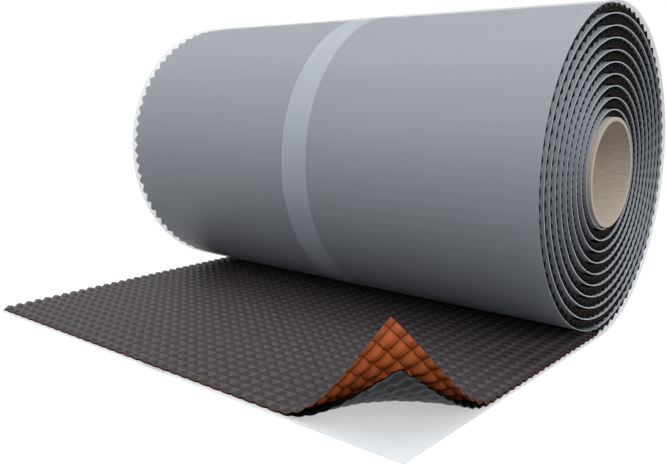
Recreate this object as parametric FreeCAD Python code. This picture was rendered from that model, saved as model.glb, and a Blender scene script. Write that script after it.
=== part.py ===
"""Roll of crimped roof flashing, lying on its side with its end unrolled.

Millimetres. X runs along the roll, -Y towards the unrolled end, +Z up.
The origin is on the floor, in the middle of the area that the part covers.
A place on the sheet is given as a run along it and a height above the outer face of its film.
"""
import FreeCAD, Part
import math
import os

from FreeCAD import Vector

# Cardboard tube
CORE_BORE = 50.0
CORE_WALL = 2.0
CORE_PROUD = 1.0
CORE_FIT = 0.3

# Release film: two strips, the right one lapped over the outside of the left one
FILM_WIDTH = 278.0
FILM_THICKNESS = 0.15
FILM_OVERLAP = 16.5
FILM_LAP_GAP = 0.05
LEFT_STRIP_WIDTH = 148.5
TAIL_REACH = 174.0

# Coloured foil on its adhesive, crimped together: sharp crests over flat troughs.
# The crimp stands taller and further apart on the roll than on the unrolled end.
FOIL_THICKNESS = 0.25
BUTYL_THICKNESS = 0.6
SIDE_MARGIN = 1.1
FRONT_MARGIN = 1.5
WAVE_LENGTH = 5.75
WAVE_HEIGHT = 1.8
TROUGH_SHARE = 0.2
UNDERSIDE_HEIGHT = 0.9
UNDERSIDE_TROUGH_SHARE = 0.3
ROLL_WAVES_PER_TURN = 72
ROLL_HEIGHT_FACTOR = 1.85

# Winding
TURNS = 10
TURN_PITCH = 5.6
WINDING_START = 1.0
SEAT_GAP = 0.05
TURN_GAP = 0.5
GROOVE_DEPTH = 2.5

# Lifted corner: legs of the bent triangle, and how each layer bends over its fold
CORNER_FRONT_LEG = 73.0
CORNER_SIDE_LEG = 60.0
FOIL_CURL_RADIUS = 17.0
FOIL_CURL_ANGLE = math.radians(103.0)
BUTYL_CURL_RADIUS = 30.0
BUTYL_CURL_ANGLE = math.radians(65.0)
CURL_STEPS = 4
CURL_SEAM = 2.0
CURL_ARC_SHARE = 0.9

# Sizes that follow
CORE_RADIUS = CORE_BORE / 2 + CORE_WALL
CORE_LENGTH = FILM_WIDTH + 2 * CORE_PROUD
ROLL_RADIUS = CORE_RADIUS + WINDING_START + TURNS * TURN_PITCH
BACK_REACH = ROLL_RADIUS - TURN_PITCH / 4
AXIS_Y = (TAIL_REACH - BACK_REACH) / 2
HALF_WIDTH = FILM_WIDTH / 2 - SIDE_MARGIN
SHEET_FRONT = TAIL_REACH - FRONT_MARGIN
LEFT_FILM_LEVEL = FILM_THICKNESS + FILM_LAP_GAP
BUTYL_LEVEL = LEFT_FILM_LEVEL + FILM_THICKNESS + SEAT_GAP
FOIL_LEVEL = BUTYL_LEVEL + BUTYL_THICKNESS
ROLL_CREST_LEVEL = FOIL_LEVEL + ROLL_HEIGHT_FACTOR * WAVE_HEIGHT + FOIL_THICKNESS
TAIL_WAVES = round(SHEET_FRONT / WAVE_LENGTH)
INNER_HALF_TURNS = 2 * TURNS - 2
ALONG = Vector(1, 0, 0)


class HalfTurn:
    """Half a turn of the winding: a half circle that starts at the bottom or at the top."""

    waves = ROLL_WAVES_PER_TURN // 2
    height_factor = ROLL_HEIGHT_FACTOR

    def __init__(self, index):
        start = self.radius_after(index / 2)
        end = self.radius_after((index + 1) / 2)
        self.goes_up = index % 2 == 0
        self.radius = (start + end) / 2
        shift = (end - start) / 2
        self.centre = Vector(0, 0, ROLL_RADIUS + (shift if self.goes_up else -shift))
        self.length = math.pi * (self.radius - FOIL_LEVEL)
        self.wave_length = self.length / self.waves

    @staticmethod
    def radius_after(turns):
        """Outside of the film after so many turns."""
        return ROLL_RADIUS - TURN_PITCH * (TURNS - turns)

    def point(self, run, height):
        start = -math.pi / 2 if self.goes_up else math.pi / 2
        angle = start - math.pi * run / self.length
        reach = self.radius - height
        return self.centre + Vector(0, reach * math.cos(angle), reach * math.sin(angle))

    def arc(self, height):
        """The whole half circle at one height."""
        ends = [self.point(self.length * share, height) for share in (0, 0.5, 1)]
        return Part.Arc(*ends).toShape()


class Tail:
    """The flat stretch in front of the roll, which is cut off at the end of a trough."""

    waves = TAIL_WAVES
    height_factor = 1.0
    wave_length = SHEET_FRONT / (TAIL_WAVES + TROUGH_SHARE / 2)

    @staticmethod
    def point(run, height):
        return Vector(0, -run, height)


OUTER_TURN = [HalfTurn(INNER_HALF_TURNS), HalfTurn(INNER_HALF_TURNS + 1)]


class WavyFace:
    """One face of a crimped layer, folded along straight lines across the sheet."""

    def __init__(self, trough_level, height, trough_share):
        self.trough_level = trough_level
        self.height = height
        self.trough_share = trough_share

    def folds(self, stretch):
        """Fold lines over a stretch, as (run, height): one on each crest, two in each trough."""
        crest_level = self.trough_level + self.height * stretch.height_factor
        half_flat = self.trough_share / 2
        lines = []
        for wave in range(stretch.waves):
            lines.append(((wave + 0.5) * stretch.wave_length, crest_level))
            lines.append(((wave + 1 - half_flat) * stretch.wave_length, self.trough_level))
            lines.append(((wave + 1 + half_flat) * stretch.wave_length, self.trough_level))
        return lines


BUTYL_UNDERSIDE = WavyFace(BUTYL_LEVEL, UNDERSIDE_HEIGHT, UNDERSIDE_TROUGH_SHARE)
FOIL_UNDERSIDE = WavyFace(FOIL_LEVEL, WAVE_HEIGHT, TROUGH_SHARE)
FOIL_TOP = WavyFace(FOIL_LEVEL + FOIL_THICKNESS, WAVE_HEIGHT, TROUGH_SHARE)

FOLDS_PER_WAVE = 3
STRAIGHT_WAVES = TAIL_WAVES - math.ceil(CORNER_SIDE_LEG / Tail.wave_length)
HINGE_RUN = (STRAIGHT_WAVES + 0.5) * Tail.wave_length


class Curl:
    """The bent corner of one layer: flat up to the fold, then an arc, then straight."""

    def __init__(self, radius, angle, level):
        self.radius = radius
        self.angle = angle
        self.level = level
        side_leg = SHEET_FRONT - HINGE_RUN
        size = math.hypot(CORNER_FRONT_LEG, side_leg)
        self.across = Vector(side_leg / size, -CORNER_FRONT_LEG / size, 0)
        self.hinge = Vector(HALF_WIDTH, -HINGE_RUN, 0)

    def point(self, past, run, height):
        """A point so far past the fold on a line across the sheet, after the corner is bent up."""
        at_edge = (Vector(HALF_WIDTH, -run, 0) - self.hinge).dot(self.across)
        x = HALF_WIDTH + (past - at_edge) / self.across.x
        if past <= 0:
            return Vector(x, -run, height)
        turned = min(past / self.radius, self.angle)
        rest = past - self.radius * turned
        forward = self.radius * math.sin(turned) + rest * math.cos(turned)
        rise = self.radius * (1 - math.cos(turned)) + rest * math.sin(turned)
        foot = Vector(x, -run, self.level) + self.across * (forward - past) + Vector(0, 0, rise)
        lean = self.across * (-math.sin(turned)) + Vector(0, 0, math.cos(turned))
        return foot + lean * (height - self.level)

    def line(self, run, height):
        """Corners of a fold line over the bent part, from the seam to the side edge."""
        at_edge = (Vector(HALF_WIDTH, -run, 0) - self.hinge).dot(self.across)
        reach = at_edge + CURL_SEAM
        arc_reach = min(CURL_ARC_SHARE * reach, self.radius * self.angle + CURL_SEAM)
        stations = [arc_reach * step / CURL_STEPS for step in range(CURL_STEPS + 1)] + [reach]
        return [self.point(station - CURL_SEAM, run, height) for station in stations]


def flat_face(corners):
    return Part.Face(Part.makePolygon(corners + corners[:1]))


def folded_patch(corners):
    """Two triangles between four corners that don't lie in one plane."""
    return [flat_face(corners[:3]), flat_face(corners[2:] + corners[:1])]


def corner_lines(face, curl):
    """The fold lines of the corner's stretch: left edge first, then round the bend to the right edge."""
    lines = []
    for run, height in face.folds(Tail)[FOLDS_PER_WAVE * STRAIGHT_WAVES :]:
        lines.append([Vector(-HALF_WIDTH, -run, height)] + curl.line(run, height))
    return lines


def strips(lines, other_lines):
    """Faces between two rows of corners each: a flat one, then patches round the bend."""
    faces = []
    for near, far in zip(lines, other_lines):
        faces.append(flat_face([near[0], near[1], far[1], far[0]]))
        for index in range(1, len(near) - 1):
            faces += folded_patch([near[index], near[index + 1], far[index + 1], far[index]])
    return faces


def corner_piece(top, bottom, curl):
    """The front of a layer with its lifted corner, closed into a solid."""
    upper = corner_lines(top, curl)
    lower = corner_lines(bottom, curl)
    faces = strips(upper, upper[1:]) + strips(lower, lower[1:])
    faces += strips([upper[0], upper[-1]], [lower[0], lower[-1]])
    for index in range(len(upper) - 1):
        left = [line[0] for line in (upper[index], upper[index + 1], lower[index + 1], lower[index])]
        right = [line[-1] for line in (upper[index], upper[index + 1], lower[index + 1], lower[index])]
        faces += [flat_face(left)] + folded_patch(right)
    shell = Part.Shell(faces)
    shell.sewShape()
    return Part.Solid(shell)


def wound_folds(face):
    """Corners of a face's section over the outer turn and on to where the lifted corner begins."""
    corners = []
    for half in OUTER_TURN:
        corners += [half.point(run, height) for run, height in face.folds(half)]
    tail = face.folds(Tail)[: FOLDS_PER_WAVE * STRAIGHT_WAVES + 1]
    return corners + [Tail.point(run, height) for run, height in tail]


def crimped_layer(top, bottom, curl):
    """One layer of the outer turn and the tail between two wavy faces."""
    section = flat_face(wound_folds(top) + wound_folds(bottom)[::-1])
    body = section.extrude(ALONG * (2 * HALF_WIDTH))
    body.translate(ALONG * -HALF_WIDTH)
    return body.fuse(corner_piece(top, bottom, curl)).removeSplitter()


def crimped_foil():
    level = FOIL_LEVEL + (WAVE_HEIGHT + FOIL_THICKNESS) / 2
    return crimped_layer(FOIL_TOP, FOIL_UNDERSIDE, Curl(FOIL_CURL_RADIUS, FOIL_CURL_ANGLE, level))


def butyl_layer():
    level = BUTYL_LEVEL + (BUTYL_THICKNESS + WAVE_HEIGHT) / 2
    return crimped_layer(FOIL_UNDERSIDE, BUTYL_UNDERSIDE, Curl(BUTYL_CURL_RADIUS, BUTYL_CURL_ANGLE, level))


def film_strip(low_x, high_x, bottom, top):
    """Release film round the outer turn and under the tail, between two heights."""
    outer = [half.arc(bottom) for half in OUTER_TURN]
    inner = [half.arc(top) for half in OUTER_TURN]
    outer.append(Part.makeLine(Tail.point(0, bottom), Tail.point(TAIL_REACH, bottom)))
    inner.append(Part.makeLine(Tail.point(0, top), Tail.point(TAIL_REACH, top)))
    ends = [
        Part.makeLine(OUTER_TURN[0].point(0, bottom), OUTER_TURN[0].point(0, top)),
        Part.makeLine(Tail.point(TAIL_REACH, bottom), Tail.point(TAIL_REACH, top)),
    ]
    section = Part.Face(Part.Wire(Part.__sortEdges__(outer + inner + ends)))
    strip = section.extrude(ALONG * (high_x - low_x))
    strip.translate(ALONG * low_x)
    return strip


def left_film():
    """The inner strip, whose right edge lies under the other one."""
    edge = FILM_WIDTH / 2
    return film_strip(-edge, LEFT_STRIP_WIDTH - edge, LEFT_FILM_LEVEL, LEFT_FILM_LEVEL + FILM_THICKNESS)


def right_film():
    edge = FILM_WIDTH / 2
    return film_strip(LEFT_STRIP_WIDTH - FILM_OVERLAP - edge, edge, 0, FILM_THICKNESS)


def turned_half(last_index):
    """One side of the inner turns, turned about its own centre, with a groove at every turn on both ends."""
    half = HalfTurn(last_index)
    right_edge = []
    radius = half.radius + TURN_PITCH - ROLL_CREST_LEVEL - TURN_GAP
    while radius > CORE_RADIUS - TURN_PITCH:
        right_edge += [(HALF_WIDTH, radius), (HALF_WIDTH - GROOVE_DEPTH, radius - TURN_PITCH / 2)]
        radius -= TURN_PITCH
    left_edge = [(-x, reach) for x, reach in reversed(right_edge)]
    side = -1 if half.goes_up else 1
    section = flat_face([half.centre + Vector(x, 0, side * reach) for x, reach in right_edge + left_edge])
    return section.revolve(half.centre, ALONG, -180)


def wound_roll():
    """The inner turns as one body: its outline is the spiral, and its ends show the turns."""
    body = turned_half(INNER_HALF_TURNS - 2).fuse(turned_half(INNER_HALF_TURNS - 1))
    axis_start = Vector(-HALF_WIDTH, 0, ROLL_RADIUS)
    return body.cut(Part.makeCylinder(CORE_RADIUS + CORE_FIT, 2 * HALF_WIDTH, axis_start, ALONG))


def core_tube():
    start = Vector(-CORE_LENGTH / 2, 0, ROLL_RADIUS)
    outer = Part.makeCylinder(CORE_RADIUS, CORE_LENGTH, start, ALONG)
    return outer.cut(Part.makeCylinder(CORE_BORE / 2, CORE_LENGTH, start, ALONG))


PIECES = {
    "core_tube": core_tube,
    "wound_roll": wound_roll,
    "crimped_foil": crimped_foil,
    "butyl_layer": butyl_layer,
    "release_film_left": left_film,
    "release_film_right": right_film,
}


def main():
    os.makedirs("parts", exist_ok=True)
    for name, make in PIECES.items():
        shape = make()
        shape.translate(Vector(0, AXIS_Y, 0))
        shape.exportStep("parts/" + name + ".step")
        print(name, "valid" if shape.isValid() else "not valid", len(shape.Solids), shape.BoundBox)


main()
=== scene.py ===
"""Looks of a roll of crimped roof flashing whose end is unrolled, with a corner of the sheet lifted.

Lengths are in millimetres until a mesh is made, where they become metres. A place on the sheet is given
by its distance along the sheet, its x across the sheet and its height above the outside of the release film.
"""
import logging
from dataclasses import dataclass, replace
from enum import Enum

import bpy
import numpy as np
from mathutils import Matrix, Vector


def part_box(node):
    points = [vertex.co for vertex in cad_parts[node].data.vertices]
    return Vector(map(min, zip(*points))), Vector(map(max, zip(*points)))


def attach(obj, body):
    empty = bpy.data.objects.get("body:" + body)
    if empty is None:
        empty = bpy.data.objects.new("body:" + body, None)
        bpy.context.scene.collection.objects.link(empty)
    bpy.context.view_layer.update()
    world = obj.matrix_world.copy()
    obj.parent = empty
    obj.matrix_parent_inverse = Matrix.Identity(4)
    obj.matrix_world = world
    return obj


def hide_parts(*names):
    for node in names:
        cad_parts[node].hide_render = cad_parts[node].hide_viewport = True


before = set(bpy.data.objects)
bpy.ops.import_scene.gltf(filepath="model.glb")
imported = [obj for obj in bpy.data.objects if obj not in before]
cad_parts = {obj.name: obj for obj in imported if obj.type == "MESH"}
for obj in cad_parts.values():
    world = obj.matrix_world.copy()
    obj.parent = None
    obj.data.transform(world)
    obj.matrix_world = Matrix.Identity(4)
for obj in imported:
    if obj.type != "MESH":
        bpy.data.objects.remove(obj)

LOG = logging.getLogger("flashing")
METRE = 0.001
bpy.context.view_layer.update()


def box_mm(node: str) -> tuple[np.ndarray, np.ndarray]:
    """Lowest and highest corner of a CAD node in millimetres."""
    low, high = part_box(node)
    return np.array(low) / METRE, np.array(high) / METRE


def linear(code: str) -> tuple[float, float, float, float]:
    """Turns an sRGB hex colour into the linear colour that a shader takes.

    Args:
        code: six hex digits after a hash sign.

    Returns:
        Red, green and blue as linear values, and an alpha of one.
    """
    values = [int(code[place : place + 2], 16) / 255 for place in (1, 3, 5)]
    red, green, blue = (v / 12.92 if v <= 0.04045 else ((v + 0.055) / 1.055) ** 2.4 for v in values)
    return red, green, blue, 1.0


class Side(Enum):
    """Which faces of a sheet a finish covers; the value is its material slot."""

    INNER = 0
    OUTER = 1
    CUT = 2


# Node materials


def add_node(tree: bpy.types.NodeTree, kind: str, settings: dict | None = None,
             links: dict | None = None) -> bpy.types.Node:
    """Adds one node with its settings and incoming links.

    Args:
        tree: the node tree.
        kind: the node's type name.
        settings: attributes by name, or socket values by input name or number.
        links: output sockets by the name or number of the input that they feed.

    Returns:
        The new node.
    """
    node = tree.nodes.new(kind)
    for name, value in (settings or {}).items():
        if isinstance(name, str) and hasattr(node, name):
            setattr(node, name, value)
        else:
            node.inputs[name].default_value = value
    for name, socket in (links or {}).items():
        tree.links.new(socket, node.inputs[name])
    return node


def new_material(name: str) -> tuple[bpy.types.Material, bpy.types.NodeTree]:
    """Makes a material with an empty node tree.

    Args:
        name: the material's name.

    Returns:
        The material and its tree.
    """
    material = bpy.data.materials.new(name)
    material.use_nodes = True
    material.node_tree.nodes.clear()
    return material, material.node_tree


def noise(tree: bpy.types.NodeTree, place: bpy.types.NodeSocket, size_mm: float,
          detail: float) -> bpy.types.NodeSocket:
    """Adds noise.

    Args:
        tree: the node tree.
        place: coordinates in metres.
        size_mm: size of the noise's largest patches.
        detail: how many finer noises are added to them.

    Returns:
        A socket with the noise, from 0 to 1.
    """
    return add_node(tree, "ShaderNodeTexNoise", {"Scale": 1 / (size_mm * METRE), "Detail": detail},
                    {"Vector": place}).outputs[0]


def between(tree: bpy.types.NodeTree, factor: bpy.types.NodeSocket, low: float,
            high: float) -> bpy.types.NodeSocket:
    """A socket that runs from a low to a high value as the factor runs from 0 to 1."""
    return add_node(tree, "ShaderNodeMapRange", {"To Min": low, "To Max": high}, {0: factor}).outputs[0]


def add_surface(tree: bpy.types.NodeTree, settings: dict, links: dict) -> None:
    """Adds the surface shader with its settings and links, and the material's output."""
    surface = add_node(tree, "ShaderNodeBsdfPrincipled", settings, links)
    add_node(tree, "ShaderNodeOutputMaterial", links={0: surface.outputs[0]})


def ramp(tree: bpy.types.NodeTree, factor: bpy.types.NodeSocket,
         stops: tuple[tuple[float, str], ...]) -> bpy.types.Node:
    """Adds a colour ramp.

    Args:
        tree: the node tree.
        factor: the socket that runs along the ramp.
        stops: places from 0 to 1 with their hex colours.

    Returns:
        The ramp node.
    """
    node = add_node(tree, "ShaderNodeValToRGB", links={0: factor})
    elements = node.color_ramp.elements
    while len(elements) < len(stops):
        elements.new(0.5)
    for element, (place, code) in zip(elements, stops):
        element.position = place
        element.color = linear(code)
    return node


class CrimpLine(Enum):
    """The line of the crimp that a lacquer's colour, with its painted shade and highlight, follows."""

    OVAL_RIM = "rim round each bowl"
    CREASE = "straight crease between the bowls"


def crimp_distance(tree: bpy.types.NodeTree, line: CrimpLine) -> bpy.types.NodeSocket:
    """Distance from the middle of the nearest bowl, read from the map of crimp phases.

    Each phase is folded to its distance from the nearest whole number, which is 0 in the middle of a bowl
    and a half on a crease. The rim takes the root of the sum of the two squares, and the crease the larger.

    Args:
        tree: the node tree.
        line: the line that the distance leads to.

    Returns:
        A socket with the distance, in waves.
    """
    phases = add_node(tree, "ShaderNodeUVMap", {"uv_map": "crimp"})
    split = add_node(tree, "ShaderNodeSeparateXYZ", links={0: phases.outputs[0]})
    folded = [add_node(tree, "ShaderNodeMath", {"operation": "PINGPONG", 1: 0.5}, {0: split.outputs[axis]})
              for axis in (0, 1)]
    across, along = (node.outputs[0] for node in folded)
    if line is CrimpLine.CREASE:
        larger = add_node(tree, "ShaderNodeMath", {"operation": "MAXIMUM"}, {0: across, 1: along})
        return larger.outputs[0]
    place = add_node(tree, "ShaderNodeCombineXYZ", links={0: across, 1: along})
    length = add_node(tree, "ShaderNodeVectorMath", {"operation": "LENGTH"}, {0: place.outputs[0]})
    return length.outputs["Value"]


@dataclass(frozen=True)
class LacqueredFoil:
    """Thin aluminium with a baked lacquer: a satin colour, with painted shade and painted highlight along the
    crimp.
    """

    name: str
    stops: tuple[tuple[float, str], ...]
    line: CrimpLine = CrimpLine.OVAL_RIM
    roughness: float = 0.46
    specular: float = 0.35
    gloss_range: tuple[float, float] = (-0.05, 0.06)
    mottle_mm: float = 2.5
    mottle_tone: float = 0.12

    def material(self) -> bpy.types.Material:
        """Lacquer coloured by the distance from a bowl's middle, with a fine mottle in colour and gloss.

        Returns:
            The material.
        """
        material, tree = new_material(self.name)
        place = add_node(tree, "ShaderNodeTexCoord").outputs["Object"]
        mottle = noise(tree, place, self.mottle_mm, 3.0)
        # On the face lacquer this ramp paints shade into the bowls and highlight on the rims; on the back,
        # shade along the creases.
        colour = ramp(tree, crimp_distance(tree, self.line), self.stops)
        tone = between(tree, mottle, 1 - self.mottle_tone, 1 + self.mottle_tone)
        shade = add_node(tree, "ShaderNodeVectorMath", {"operation": "SCALE"},
                         {0: colour.outputs[0], 3: tone})
        low, high = (self.roughness + shift for shift in self.gloss_range)
        add_surface(tree, {"IOR": 1.5, "Specular IOR Level": self.specular},
                    {"Base Color": shade.outputs[0], "Roughness": between(tree, mottle, low, high)})
        return material


@dataclass(frozen=True)
class ButylMastic:
    """Soft black butyl rolled onto the foil: nearly black, with a wet gloss where the film was peeled off."""

    name: str
    colour: str
    # Painted shade: the darker colour laid along the creases.
    crease: str
    roughness: float
    specular: float = 0.1
    gloss_range: tuple[float, float] = (-0.1, 0.12)
    smear_mm: float = 9.6
    grain_mm: float = 0.8
    grain_depth_mm: float = 0.03

    def material(self) -> bpy.types.Material:
        """Black mastic with painted shade along the creases, uneven gloss and a fine pitted surface.

        Returns:
            The material.
        """
        material, tree = new_material(self.name)
        colour = ramp(tree, crimp_distance(tree, CrimpLine.CREASE),
                      ((0.0, self.colour), (0.38, self.colour), (0.48, self.crease)))
        place = add_node(tree, "ShaderNodeTexCoord").outputs["Object"]
        bump = add_node(tree, "ShaderNodeBump", {"Distance": self.grain_depth_mm * METRE, "Strength": 0.6},
                        {"Height": noise(tree, place, self.grain_mm, 4.0)})
        smear = noise(tree, place, self.smear_mm, 2.0)
        low, high = (self.roughness + shift for shift in self.gloss_range)
        add_surface(tree, {"IOR": 1.52, "Specular IOR Level": self.specular},
                    {"Base Color": colour.outputs[0], "Roughness": between(tree, smear, low, high),
                     "Normal": bump.outputs[0]})
        return material


@dataclass(frozen=True)
class ReleaseFilm:
    """Siliconised polyethylene film: milky, with faint streaks across the web from the winding."""

    name: str
    colour: str
    alpha: float
    roughness: float = 0.38
    gloss_range: tuple[float, float] = (-0.06, 0.06)
    streak_mm: float = 2.2
    streak_tone: float = 0.03
    scale_along_roll: float = 0.04

    def material(self) -> bpy.types.Material:
        """Milky see-through film with streaks drawn out along the roll, read from the sheet's own map.

        Returns:
            The material.
        """
        material, tree = new_material(self.name)
        sheet = add_node(tree, "ShaderNodeUVMap", {"uv_map": "sheet"})
        drawn_out = add_node(tree, "ShaderNodeMapping", {"Scale": (self.scale_along_roll, 1.0, 1.0)},
                             {0: sheet.outputs[0]})
        streaks = noise(tree, drawn_out.outputs[0], self.streak_mm, 2.0)
        tone = between(tree, streaks, 1 - self.streak_tone, 1 + self.streak_tone)
        base = add_node(tree, "ShaderNodeVectorMath", {"operation": "SCALE", 0: linear(self.colour)[:3]},
                        {3: tone})
        low, high = (self.roughness + shift for shift in self.gloss_range)
        add_surface(tree, {"Alpha": self.alpha, "IOR": 1.51},
                    {"Base Color": base.outputs[0], "Roughness": between(tree, streaks, low, high)})
        return material


@dataclass(frozen=True)
class WoundCardboard:
    """Grey-beige core board wound from paper plies: matte and fibrous, with its fibres drawn out along the
    tube.
    """

    name: str
    colour: str
    fibre: str
    fibre_mm: float = 0.7
    fibre_depth_mm: float = 0.05
    scale_along_roll: float = 0.12

    def material(self) -> bpy.types.Material:
        """Board with fibres drawn out along the tube and a dry, rough surface.

        Returns:
            The material.
        """
        material, tree = new_material(self.name)
        place = add_node(tree, "ShaderNodeTexCoord").outputs["Object"]
        drawn_out = add_node(tree, "ShaderNodeMapping", {"Scale": (self.scale_along_roll, 1.0, 1.0)},
                             {0: place})
        fibres = noise(tree, drawn_out.outputs[0], self.fibre_mm, 5.0)
        colour = ramp(tree, fibres, ((0.3, self.fibre), (0.6, self.colour)))
        bump = add_node(tree, "ShaderNodeBump", {"Distance": self.fibre_depth_mm * METRE, "Strength": 0.5},
                        {"Height": fibres})
        add_surface(tree, {"Roughness": 0.9, "IOR": 1.4},
                    {"Base Color": colour.outputs[0], "Normal": bump.outputs[0]})
        return material


Finish = LacqueredFoil | ButylMastic | ReleaseFilm | WoundCardboard

# Baked brown lacquer, satin: painted shade darkens the bowls, and painted highlight lights a warm brown rim
# round each and greyer ridges.
FOIL_FACE = LacqueredFoil(
    "brown_foil_lacquer_painted_shade_and_highlight",
    ((0.0, "#362D2F"), (0.42, "#372E30"), (0.45, "#5A5149"), (0.52, "#4E4E53"), (0.7, "#4A494E")),
    roughness=0.38, specular=0.22)
# Terracotta primer on the foil's back: matte, with painted shade darkening the thin straight creases between
# the bowls.
FOIL_BACK = LacqueredFoil("terracotta_foil_primer_painted_crease_shade", ((0.0, "#CC6C3E"), (0.42, "#C0622F"), (0.49, "#6A2C14")),
                          CrimpLine.CREASE, specular=0.2)
# Cut foil: a thin reddish line along the sheet's edge, and a darker one where the turns shade it.
FOIL_CUT = LacqueredFoil("cut_foil_edge", ((0.0, "#8A3A20"), (0.7, "#8A3A20")), roughness=0.5)
FOIL_CUT_WOUND = LacqueredFoil("cut_foil_edge_wound", ((0.0, "#2C1D1A"), (0.7, "#2C1D1A")), roughness=0.6,
                               specular=0.05)
# Cut and bonded butyl: a dull black that swallows the light between the turns.
BUTYL_FACE = ButylMastic("butyl_bond_face", "#050506", "#050506", 0.7, specular=0.02)
# Butyl that the film has been peeled off: blue-black with a wet gloss, and painted shade along its creases.
BUTYL_UNDERSIDE = ButylMastic("butyl_underside_painted_crease_shade", "#12161B", "#020303", 0.34, specular=0.2)
# Milky polyethylene: grey over the black butyl, nearly white over a pale floor.
FILM = ReleaseFilm("milky_release_film", "#F0F7FF", 0.285)
# The same film edge on between the turns: denser, and a pale line where it was cut.
FILM_WOUND = ReleaseFilm("wound_release_film", "#E6EEF6", 0.7)
FILM_CUT = ReleaseFilm("cut_release_film", "#F4F8FC", 0.95)
# Grey-beige core board: dry and matte, with its fibres along the tube.
BOARD = WoundCardboard("wound_core_board", "#E4D9C9", "#D2C4B0")


# Meshes


def rim_edges(mesh: bpy.types.Mesh, rows: int, columns: int) -> np.ndarray:
    """Marks the edges where a sheet's faces turn into its cut sides.

    Args:
        mesh: the closed sheet.
        rows: points along the sheet.
        columns: points across the sheet.

    Returns:
        True for each edge that joins two border points of the same face.
    """
    ends = np.empty(2 * len(mesh.edges), dtype=np.int32)
    mesh.edges.foreach_get("vertices", ends)
    ends = ends.reshape(-1, 2)
    layer, place = np.divmod(ends, rows * columns)
    row, column = np.divmod(place, columns)
    border = (row == 0) | (row == rows - 1) | (column == 0) | (column == columns - 1)
    return border.all(axis=1) & (layer[:, 0] == layer[:, 1])


def closed_sheet(name: str, inner: np.ndarray, outer: np.ndarray,
                 maps: dict[str, np.ndarray]) -> bpy.types.Object:
    """Makes a closed sheet between two grids of points.

    Quads join each grid's neighbours, the outer grid's the other way round, and a strip of quads round
    the border joins the two grids. Every quad is turned over if the first of them points inwards.

    Args:
        name: the object's name.
        inner: points of the face on the roll's inside, rows by columns by three, in millimetres.
        outer: points of the face on the film's side, in the same order.
        maps: a pair of values for each point, rows by columns by two, by the name of the map.

    Returns:
        The new object, at the origin.
    """
    rows, columns = inner.shape[:2]
    number = np.arange(rows * columns).reshape(rows, columns)
    near, far = number, number + rows * columns
    faces = np.stack([near[:-1, :-1], near[:-1, 1:], near[1:, 1:], near[1:, :-1]], axis=-1).reshape(-1, 4)
    back = np.stack([far[:-1, :-1], far[1:, :-1], far[1:, 1:], far[:-1, 1:]], axis=-1).reshape(-1, 4)
    sides = np.concatenate([
        np.stack([near[0, 1:], near[0, :-1], far[0, :-1], far[0, 1:]], axis=-1),
        np.stack([near[-1, :-1], near[-1, 1:], far[-1, 1:], far[-1, :-1]], axis=-1),
        np.stack([near[:-1, 0], near[1:, 0], far[1:, 0], far[:-1, 0]], axis=-1),
        np.stack([near[1:, -1], near[:-1, -1], far[:-1, -1], far[1:, -1]], axis=-1),
    ])
    quads = np.concatenate([faces, back, sides])
    first = np.cross(inner[0, 1] - inner[0, 0], inner[1, 0] - inner[0, 0])
    if first @ (inner[0, 0] - outer[0, 0]) < 0:
        quads = quads[:, ::-1]
    points = np.concatenate([inner.reshape(-1, 3), outer.reshape(-1, 3)]) * METRE
    mesh = bpy.data.meshes.new(name)
    mesh.vertices.add(len(points))
    mesh.vertices.foreach_set("co", points.ravel())
    mesh.loops.add(quads.size)
    mesh.loops.foreach_set("vertex_index", quads.ravel())
    mesh.polygons.add(len(quads))
    mesh.polygons.foreach_set("loop_start", np.arange(0, quads.size, 4))
    mesh.polygons.foreach_set("loop_total", np.full(len(quads), 4))
    slots = np.repeat([side.value for side in Side], [len(faces), len(back), len(sides)])
    mesh.polygons.foreach_set("material_index", slots)
    mesh.update(calc_edges=True)
    mesh.validate()
    for map_name, values in maps.items():
        pairs = np.tile(values.reshape(-1, 2), (2, 1))
        mesh.uv_layers.new(name=map_name).data.foreach_set("uv", pairs[quads.ravel()].ravel())
    sharp = mesh.attributes.new("sharp_edge", "BOOLEAN", "EDGE")
    sharp.data.foreach_set("value", rim_edges(mesh, rows, columns))
    piece = bpy.data.objects.new(name, mesh)
    bpy.context.scene.collection.objects.link(piece)
    return piece


def dress(piece: bpy.types.Object, slot: str, finishes: list[Finish], *nodes: str) -> None:
    """Gives a piece its finishes and its body, and hides the CAD nodes that it stands for.

    Args:
        piece: the finished piece.
        slot: its material slot; not used.
        finishes: one finish, or one for each Side in order.
        nodes: the CAD nodes that it replaces.
    """
    for finish in finishes:
        piece.data.materials.append(made_material(finish))
    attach(piece, "root")
    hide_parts(*nodes)
    LOG.info("%s: %d faces", piece.name, len(piece.data.polygons))


def made_material(finish: Finish) -> bpy.types.Material:
    """The material of a finish, made once."""
    return bpy.data.materials.get(finish.name) or finish.material()


# The sheet's course


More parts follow.
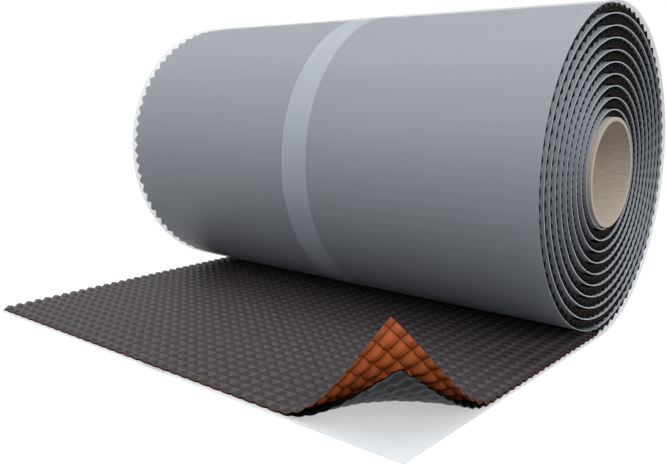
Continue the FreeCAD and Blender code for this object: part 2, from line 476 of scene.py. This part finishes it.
@dataclass(frozen=True)
class Winding:
    """The course of the sheet on the roll: half circles whose centres lie above and below the roll's axis."""

    axis_y: float
    axis_z: float
    outer_radius: float
    turns: int = 10
    turn_pitch: float = 5.6

    def film_radius(self, turned: np.ndarray) -> np.ndarray:
        """Outside of the film after so many half turns, counted inwards from the floor."""
        return self.outer_radius - self.turn_pitch * turned / 2

    def place(self, turned: np.ndarray, x: np.ndarray, height: np.ndarray) -> np.ndarray:
        """Points on the roll.

        Each half turn is a half circle round a centre a quarter of the turn pitch below the axis on the back
        and above it on the front, with the mean of the spiral's radii at its two ends as its radius. A point
        lies at that radius less its height.

        Args:
            turned: half turns, counted inwards from where the sheet meets the floor.
            x: place across the sheet.
            height: height above the outside of the film, inwards.

        Returns:
            Points in millimetres, with x, y and z in the last axis.
        """
        half = np.minimum(np.floor(turned), 2 * self.turns - 1)
        at_back = half % 2 == 0
        reach = self.film_radius(half + 0.5) - height
        angle = np.where(at_back, -np.pi / 2, np.pi / 2) + np.pi * (turned - half)
        centre = self.axis_z + np.where(at_back, -1, 1) * self.turn_pitch / 4
        y = self.axis_y + reach * np.cos(angle)
        z = centre + reach * np.sin(angle)
        return np.stack(np.broadcast_arrays(x, y, z), axis=-1)


@dataclass(frozen=True)
class Bend:
    """A corner bent up about a fold that bows back in the middle: in an arc, and straight beyond it.

    The legs are the distances from the corner to the fold's ends on the front and on the side edge.
    """

    front_leg: float
    side_leg: float
    bow: float
    radius: float
    degrees: float

    def lift(self, points: np.ndarray, corner: tuple[float, float], level: float) -> np.ndarray:
        """Bends the points that lie past the fold.

        The fold is the chord between its two ends on the sheet's edges, set back in the middle by a parabola.
        Past it a point's distance is laid along the arc, so that it moves forward by the sine and up by one
        less the cosine of the turned angle, times the radius. What is left beyond the arc goes on straight.
        Its height above the neutral level is laid along the bent sheet's own normal.

        Args:
            points: points of the flat sheet, with y measured from the roll's axis.
            corner: x and y of the sheet's corner.
            level: height of the neutral level, whose length the bend keeps.

        Returns:
            The bent points.
        """
        size = np.hypot(self.front_leg, self.side_leg)
        across = np.array([self.side_leg, -self.front_leg]) / size
        along = np.array([self.front_leg, self.side_leg]) / size
        depth = self.front_leg * self.side_leg / size
        from_foot = points[..., :2] - (np.array(corner) - depth * across)
        beside = from_foot @ along
        end = np.where(beside > 0, self.side_leg**2, self.front_leg**2) / size
        past = from_foot @ across + self.bow * np.maximum(1 - (beside / end) ** 2, 0)
        past = np.maximum(past, 0)
        turned = np.minimum(past / self.radius, np.radians(self.degrees))
        rest = past - self.radius * turned
        forward = self.radius * np.sin(turned) + rest * np.cos(turned)
        rise = self.radius * (1 - np.cos(turned)) + rest * np.sin(turned)
        above = points[..., 2] - level
        shift = forward - past - np.sin(turned) * above
        bent = points.copy()
        bent[..., 0] += across[0] * shift
        bent[..., 1] += across[1] * shift
        bent[..., 2] = np.where(past > 0, level + rise + np.cos(turned) * above, points[..., 2])
        return bent


@dataclass(frozen=True)
class Crimp:
    """The crimped faces: bowls between crests in one direction and ridges in the other."""

    wave: float = 5.75
    cell: float = 6.895
    trough_level: float = 1.15
    wave_height: float = 1.75
    wave_rounding: float = 0.24
    ridge_height: float = 0.75
    ridge_loss_on_crest: float = 0.35
    underside_level: float = 0.35
    underside_wave: float = 0.9
    underside_rounding: float = 0.35
    underside_ridge: float = 0.45
    foil_thickness: float = 0.22
    least_butyl: float = 0.25
    bond_gap: float = 0.04
    waves_per_half_turn: int = 36

    @staticmethod
    def reach(phase: np.ndarray) -> np.ndarray:
        """Evenly growing distance from 0 at whole phases to 1 halfway between them."""
        return 1 - 2 * np.abs(phase - np.floor(phase) - 0.5)

    def rise(self, phase: np.ndarray, rounding: float) -> np.ndarray:
        """Height of a wave from 0 in the trough at whole phases to 1 on the crest halfway between them.

        It is the square root of the reach squared plus the rounding squared, shifted and scaled to run from
        0 to 1: round in the trough, sharp on the crest.
        """
        return (np.hypot(self.reach(phase), rounding) - rounding) / (np.hypot(1, rounding) - rounding)

    def faces(self, wave_phase: np.ndarray, cell_phase: np.ndarray,
              factor: np.ndarray | float) -> tuple[np.ndarray, np.ndarray, np.ndarray]:
        """Heights of the foil's face, of the bond and of the butyl's underside.

        The bowls sag between the ridges by a parabola, a little less on the crests than in the troughs.

        Args:
            wave_phase: place along the sheet, in waves from a trough.
            cell_phase: place across the sheet, in cells from the middle of a bowl.
            factor: what share of their full height the waves have.

        Returns:
            Three arrays of heights above the outside of the film.
        """
        wave = self.rise(wave_phase, self.wave_rounding)
        ridge = self.reach(cell_phase) ** 2 * (1 - self.ridge_loss_on_crest * wave)
        foil = self.trough_level + factor * (self.wave_height * wave + self.ridge_height * ridge)
        soft_wave = self.rise(wave_phase, self.underside_rounding)
        soft_ridge = self.reach(cell_phase) ** 2
        below = self.underside_level + factor * (
            self.underside_wave * soft_wave + self.underside_ridge * soft_ridge)
        bond = foil - self.foil_thickness
        return foil, bond, np.minimum(below, bond - self.least_butyl)


def sheet_maps(x: np.ndarray, run: np.ndarray, cell_phase: np.ndarray,
               wave_phase: np.ndarray) -> dict[str, np.ndarray]:
    """The two maps of a crimped sheet.

    Args:
        x: place across the sheet.
        run: place along it.
        cell_phase: place across it, in cells.
        wave_phase: place along it, in waves.

    Returns:
        The places in metres and the phases, by the name of the map.
    """
    place = np.stack(np.broadcast_arrays(x, run), axis=-1) * METRE
    phases = np.stack(np.broadcast_arrays(cell_phase, wave_phase), axis=-1)
    return {"sheet": place, "crimp": phases}


def repeated(count: int, samples: tuple[float, ...]) -> np.ndarray:
    """Phases of so many waves, each with the same samples, and the end of the last one."""
    return np.append((np.arange(count)[:, None] + np.array(samples)).ravel(), count)


# Sub-assemblies


@dataclass
class CoreTube:
    """The cardboard tube that the sheet is wound on."""

    wall: float = 2.0
    edge_round: float = 0.2
    points_per_corner: int = 5
    steps_round: int = 144

    def build(self) -> None:
        """Turns the tube's section round its axis.

        The section is a closed outline of a rectangle with rounded corners, given by the bore's and the
        outer radius and the tube's ends. Each point of it is turned through equal steps round the axis.
        """
        low, high = box_mm("core_tube")
        outer = (high[2] - low[2]) / 2
        centre = (low + high) / 2
        bore = outer - self.wall
        quarter = np.linspace(0, np.pi / 2, self.points_per_corner)
        corners = [(high[0], outer, 0), (high[0], bore, 1), (low[0], bore, 2), (low[0], outer, 3)]
        outline = []
        for x, radius, step in corners:
            angle = np.pi / 2 - quarter - step * np.pi / 2
            inset_x = x - np.sign(x) * self.edge_round
            inset_r = radius - self.edge_round * (1 if radius == outer else -1)
            outline.append(np.stack([inset_x + self.edge_round * np.cos(angle),
                                     inset_r + self.edge_round * np.sin(angle)], axis=-1))
        section = np.concatenate(outline)
        turn = np.arange(self.steps_round) * 2 * np.pi / self.steps_round
        x = np.broadcast_to(section[:, 0], (len(turn), len(section)))
        y = centre[1] + np.outer(np.cos(turn), section[:, 1])
        z = centre[2] + np.outer(np.sin(turn), section[:, 1])
        points = np.stack([x, y, z], axis=-1)
        number = np.arange(len(turn) * len(section)).reshape(len(turn), len(section))
        right = np.roll(number, -1, axis=0)
        quads = np.stack([number, np.roll(number, -1, axis=1), np.roll(right, -1, axis=1), right], axis=-1)
        mesh = bpy.data.meshes.new("cardboard_tube")
        mesh.from_pydata((points.reshape(-1, 3) * METRE).tolist(), [], quads.reshape(-1, 4).tolist())
        mesh.shade_smooth()
        piece = bpy.data.objects.new("cardboard_tube", mesh)
        bpy.context.scene.collection.objects.link(piece)
        dress(piece, "cardboard", [BOARD], "core_tube")


@dataclass
class WoundSheet:
    """The foil, butyl and film that are wound on the roll.

    The film between the turns is drawn thicker than it is, and set back from the outer film's edges, so that
    its pale cut edge and the black butyl behind it both show in the render.
    """

    winding: Winding
    crimp: Crimp
    outer_crimp: Crimp
    half_width: float
    film_half_width: float
    tube_radius: float
    tube_gap: float = 0.15
    centre_factor: float = 0.35
    film_thickness: float = 0.15
    wound_film_thickness: float = 0.35
    wound_film_inset: float = 0.35
    film_steps: int = 60
    film_columns: int = 5
    tail_steps: int = 12
    wave_samples: tuple[float, ...] = (0.0, 0.25, 0.42, 0.5, 0.58, 0.75)
    edge_phases: tuple[float, ...] = (0.0, 0.17, 0.33, 0.5, 0.67, 1.0)

    def columns(self) -> tuple[np.ndarray, np.ndarray]:
        """Places across the sheet: close together near both ends and far apart in the hidden middle.

        Returns:
            The x of each place, and its phase in cells from the middle of a bowl at the sheet's edge.
        """
        phase = np.array(self.edge_phases)
        x = self.half_width - phase * self.crimp.cell
        return np.concatenate([-x, x[::-1]]), np.concatenate([phase, phase[::-1]])

    def factor(self, turned: np.ndarray) -> np.ndarray:
        """The waves' share of their full height: lower on smaller turns, whose waves are shorter too."""
        share = self.winding.film_radius(turned) / self.winding.outer_radius
        return self.centre_factor + (1 - self.centre_factor) * share

    def squeeze(self, turned: np.ndarray) -> np.ndarray:
        """What share of the layers' height is left where the sheet starts on the tube."""
        room = self.winding.film_radius(turned) - self.tube_radius - self.tube_gap
        return np.minimum(1, room / (self.crimp.trough_level + self.crimp.wave_height))

    def ribbon(self, start: int, end: int, crimp: Crimp) -> tuple[dict[str, np.ndarray], list[np.ndarray]]:
        """The crimped sheet between two counts of half turns.

        Args:
            start: half turns from the floor to the outer end of the stretch.
            end: half turns to its inner end.
            crimp: its crimped faces.

        Returns:
            The sheet's maps, and the points of the foil's face, the bond and the butyl's underside.
        """
        waves = crimp.waves_per_half_turn
        phase = start * waves + repeated((end - start) * waves, self.wave_samples)
        x, cell_phase = self.columns()
        turned = (phase / waves)[:, None]
        heights = crimp.faces(phase[:, None], cell_phase[None, :], self.factor(turned))
        points = [self.winding.place(turned, x[None, :], height * self.squeeze(turned)) for height in heights]
        run = (phase[0] - phase) * crimp.wave
        return sheet_maps(x[None, :], run[:, None], cell_phase[None, :], phase[:, None]), points

    def film(self, start: int, end: int, low_x: float, high_x: float, level: float, thickness: float,
             tail: float | None = None) -> tuple[np.ndarray, np.ndarray, dict[str, np.ndarray]]:
        """A strip of film round part of the roll, and on under the unrolled end if a tail is given.

        Args:
            start: half turns from the floor to its outer end.
            end: half turns to its inner end.
            low_x: its left edge.
            high_x: its right edge.
            level: height of its outer face above the outside of the film.
            thickness: its thickness.
            tail: how far it reaches on the floor.

        Returns:
            Points of its inner and outer face, and its map.
        """
        turned = np.linspace(start, end, (end - start) * self.film_steps + 1)[:, None]
        x = np.linspace(low_x, high_x, self.film_columns)[None, :]
        levels = (level + thickness, level)
        faces = [self.winding.place(turned, x, height + 0 * turned) for height in levels]
        run = -turned * np.pi * self.winding.outer_radius
        if tail is not None:
            reach = np.linspace(tail, 0, self.tail_steps, endpoint=False)[:, None]
            y = self.winding.axis_y - reach
            flat = [np.stack(np.broadcast_arrays(x, y, height), axis=-1) for height in levels]
            faces = [np.concatenate(pair) for pair in zip(flat, faces)]
            run = np.concatenate([reach, run])
        return faces[0], faces[1], {"sheet": np.stack(np.broadcast_arrays(x, run), axis=-1) * METRE}

    def build_inner_turns(self) -> None:
        """The turns inside the outer one: foil, butyl and film, each wound as one sheet."""
        last = 2 * self.winding.turns
        maps, (foil, bond, below) = self.ribbon(2, last, self.crimp)
        dress(closed_sheet("inner_turns_foil", foil, bond, maps), "coloured_foil",
              [FOIL_FACE, FOIL_BACK, FOIL_CUT_WOUND], "wound_roll")
        dress(closed_sheet("inner_turns_butyl", bond, below, maps), "butyl",
              [BUTYL_FACE, BUTYL_UNDERSIDE, BUTYL_FACE], "wound_roll")
        half = self.film_half_width - self.wound_film_inset
        film = self.film(2, last, -half, half, 0, self.wound_film_thickness)
        dress(closed_sheet("inner_turns_film", *film), "release_film", [FILM_WOUND, FILM_WOUND, FILM_CUT],
              "wound_roll")

    def build_outer_turn(self) -> None:
        """The foil and butyl of the outer turn, which runs on into the unrolled end."""
        maps, (foil, bond, below) = self.ribbon(0, 2, self.outer_crimp)
        dress(closed_sheet("outer_turn_foil", foil, bond, maps), "coloured_foil",
              [FOIL_FACE, FOIL_BACK, FOIL_CUT_WOUND], "crimped_foil")
        dress(closed_sheet("outer_turn_butyl", bond, below, maps), "butyl",
              [BUTYL_FACE, BUTYL_UNDERSIDE, BUTYL_FACE], "butyl_layer")

    def build_films(self) -> None:
        """The two strips of film round the outer turn and under the unrolled end."""
        for side in ("left", "right"):
            node = "release_film_" + side
            low, high = box_mm(node)
            tail = self.winding.axis_y - low[1]
            film = self.film(0, 2, low[0], high[0], low[2], self.film_thickness, tail)
            dress(closed_sheet("film_" + side, *film), "release_film", [FILM, FILM, FILM_CUT], node)


@dataclass
class UnrolledEnd:
    """The flat stretch in front of the roll, with its front right corner lifted.

    The foil is peeled back past upright, and the butyl is lifted less and in a wider bend.
    """

    winding: Winding
    crimp: Crimp
    half_width: float
    film_reach: float
    front_margin: float = 1.5
    foil_bend: Bend = Bend(front_leg=60.2, side_leg=62.7, bow=16.0, radius=32.5, degrees=116)
    butyl_bend: Bend = Bend(front_leg=59.4, side_leg=61.6, bow=20.0, radius=63.5, degrees=63)
    samples: tuple[float, ...] = (0.0, 0.17, 0.34, 0.5, 0.66, 0.83)
    coarse_samples: tuple[float, ...] = (0.0, 0.25, 0.5, 0.75)

    @property
    def reach(self) -> float:
        """How far the sheet reaches from under the roll's axis; the film stands the margin in front of it."""
        return self.film_reach - self.front_margin

    def surfaces(self, samples: tuple[float, ...]) -> tuple[dict[str, np.ndarray], list[np.ndarray]]:
        """The flat sheet's three faces.

        Args:
            samples: places in each wave and cell.

        Returns:
            The sheet's maps, and points of the foil's face, the bond and the underside with y measured from
            the roll's axis.
        """
        waves = round(self.reach / self.crimp.wave)
        cells = round(2 * self.half_width / self.crimp.cell)
        wave_phase = repeated(waves, samples)[:, None]
        cell_phase = repeated(cells, samples)[None, :]
        run = wave_phase * self.reach / waves
        x = cell_phase * 2 * self.half_width / cells - self.half_width
        heights = self.crimp.faces(wave_phase, cell_phase, 1.0)
        points = [np.stack(np.broadcast_arrays(x, -run, height), axis=-1) for height in heights]
        return sheet_maps(x, run, cell_phase, wave_phase), points

    def settled(self, points: np.ndarray, bend: Bend, lowest: float) -> np.ndarray:
        """Bends the corner and moves the sheet from the roll's axis to its place in the frame.

        Args:
            points: points of the flat sheet.
            bend: the corner's bend.
            lowest: the level above which the neutral level lies by half a wave.

        Returns:
            The points in the frame.
        """
        corner = (self.half_width, -self.reach)
        bent = bend.lift(points, corner, lowest + self.crimp.wave_height / 2)
        return bent + np.array([0, self.winding.axis_y, 0])

    def build(self) -> None:
        """The foil and the butyl of the unrolled end, bent apart at the lifted corner."""
        maps, (foil, bond, _) = self.surfaces(self.samples)
        faces = [self.settled(face, self.foil_bend, self.crimp.trough_level) for face in (foil, bond)]
        dress(closed_sheet("unrolled_foil", *faces, maps), "coloured_foil",
              [FOIL_FACE, FOIL_BACK, FOIL_CUT], "crimped_foil")
        maps, (_, bond, below) = self.surfaces(self.coarse_samples)
        bond = bond - np.array([0, 0, self.crimp.bond_gap])
        faces = [self.settled(face, self.butyl_bend, self.crimp.underside_level) for face in (bond, below)]
        dress(closed_sheet("unrolled_butyl", *faces, maps), "butyl",
              [BUTYL_FACE, BUTYL_UNDERSIDE, BUTYL_FACE], "butyl_layer")


@dataclass(frozen=True)
class SoftLamp:
    """A square lamp that shines on the object."""

    name: str
    place: tuple[float, float, float]
    size: float
    watts: float

    def build(self, target: Vector) -> None:
        """Adds the lamp, turned to a target."""
        lamp = bpy.data.lights.new(self.name, "AREA")
        lamp.size = self.size
        lamp.energy = self.watts
        holder = bpy.data.objects.new(self.name, lamp)
        holder.location = self.place
        holder.rotation_euler = (target - holder.location).to_track_quat("-Z", "Y").to_euler()
        bpy.context.scene.collection.objects.link(holder)


@dataclass
class Studio:
    """Floor, lamps, world and the camera at the photograph's angle, in metres."""

    camera_place: tuple[float, float, float] = (0.2732, -0.3253, 0.1250)
    camera_turn: tuple[float, float, float] = (1.3821, 0.0, 0.6984)
    lens_mm: float = 41.06
    sensor_mm: float = 36.0
    near_limit: float = 0.01
    floor_colour: str = "#8A8A8A"
    floor_drop: float = 0.0004
    floor_glow: float = 0.94
    floor_size: float = 6.0
    sky_colour: str = "#D5DAE2"
    sky_strength: float = 0.27
    target: tuple[float, float, float] = (0, 0, 0.05)
    lamps: tuple[SoftLamp, ...] = (
        SoftLamp("overhead", (-0.1, -0.1, 1.3), 1.4, 8.8),
        SoftLamp("front", (-0.5, -1.1, 0.8), 0.9, 4.8),
        SoftLamp("end", (1.2, -0.35, 0.75), 0.6, 7.6),
    )

    def build_camera(self) -> None:
        """The camera, all in focus."""
        camera = bpy.data.cameras.new("camera")
        camera.lens = self.lens_mm
        camera.sensor_width = self.sensor_mm
        camera.clip_start = self.near_limit
        holder = bpy.data.objects.new("camera", camera)
        holder.location = self.camera_place
        holder.rotation_euler = self.camera_turn
        bpy.context.scene.collection.objects.link(holder)
        bpy.context.scene.camera = holder

    @staticmethod
    def seen_directly(tree: bpy.types.NodeTree) -> bpy.types.NodeSocket:
        """A factor that tells the rays that show the background: camera, glossy and transmission rays.

        Args:
            tree: the node tree.

        Returns:
            A socket that is 1 for those rays and 0 for the rest.
        """
        path = add_node(tree, "ShaderNodeLightPath")
        first = add_node(tree, "ShaderNodeMath", {"operation": "MAXIMUM"},
                         {0: path.outputs["Is Camera Ray"], 1: path.outputs["Is Glossy Ray"]})
        both = add_node(tree, "ShaderNodeMath", {"operation": "MAXIMUM"},
                        {0: first.outputs[0], 1: path.outputs["Is Transmission Ray"]})
        return both.outputs[0]

    def build_floor(self) -> None:
        """A white floor that keeps the object's shadow."""
        material, tree = new_material("studio_floor")
        matte = add_node(tree, "ShaderNodeBsdfDiffuse", {"Color": linear(self.floor_colour)})
        glow = add_node(tree, "ShaderNodeEmission", {"Strength": self.floor_glow})
        seen = add_node(tree, "ShaderNodeMixShader", links={0: self.seen_directly(tree), 2: glow.outputs[0]})
        mixed = add_node(tree, "ShaderNodeAddShader", links={0: matte.outputs[0], 1: seen.outputs[0]})
        add_node(tree, "ShaderNodeOutputMaterial", links={0: mixed.outputs[0]})
        half = self.floor_size / 2
        outline = ((-half, -half), (half, -half), (half, half), (-half, half))
        corners = [(x, y, -self.floor_drop) for x, y in outline]
        mesh = bpy.data.meshes.new("floor")
        mesh.from_pydata(corners, [], [(0, 1, 2, 3)])
        mesh.materials.append(material)
        floor = bpy.data.objects.new("floor", mesh)
        bpy.context.scene.collection.objects.link(floor)

    def build_world(self) -> None:
        """A world that is white to look at and lights the object softly."""
        world = bpy.data.worlds.new("studio")
        world.use_nodes = True
        tree = world.node_tree
        tree.nodes.clear()
        light = add_node(tree, "ShaderNodeBackground",
                         {"Color": linear(self.sky_colour), "Strength": self.sky_strength})
        white = add_node(tree, "ShaderNodeBackground", {"Color": (1.0, 1.0, 1.0, 1.0), "Strength": 1.0})
        mixed = add_node(tree, "ShaderNodeMixShader",
                         links={0: self.seen_directly(tree), 1: light.outputs[0], 2: white.outputs[0]})
        add_node(tree, "ShaderNodeOutputWorld", links={0: mixed.outputs[0]})
        bpy.context.scene.world = world

    def build(self) -> None:
        """Everything round the object."""
        self.build_camera()
        self.build_floor()
        for lamp in self.lamps:
            lamp.build(Vector(self.target))
        self.build_world()
        bpy.context.scene.view_settings.view_transform = "Standard"


def main() -> None:
    """Builds the sub-assemblies in order."""
    logging.basicConfig(level=logging.INFO, format="%(message)s")
    tube_low, tube_high = box_mm("core_tube")
    _, turns_high = box_mm("wound_roll")
    film_low, film_high = box_mm("release_film_right")
    centre = (tube_low + tube_high) / 2
    winding = Winding(axis_y=centre[1], axis_z=centre[2], outer_radius=centre[2])
    inner_crimp = Crimp(trough_level=2.45, wave_height=2.1, wave_rounding=0.12, ridge_height=0.45,
                        underside_level=0.4, underside_wave=2.1, underside_rounding=0.12, underside_ridge=0.1)
    outer_crimp = replace(inner_crimp, underside_level=0.95, underside_wave=2.4)
    wound = WoundSheet(winding, inner_crimp, outer_crimp, half_width=turns_high[0],
                       film_half_width=film_high[0], tube_radius=(tube_high[2] - tube_low[2]) / 2)
    CoreTube().build()
    wound.build_inner_turns()
    wound.build_outer_turn()
    wound.build_films()
    UnrolledEnd(winding, Crimp(), half_width=turns_high[0], film_reach=centre[1] - film_low[1]).build()
    Studio().build()


if __name__ == "__main__":
    main()
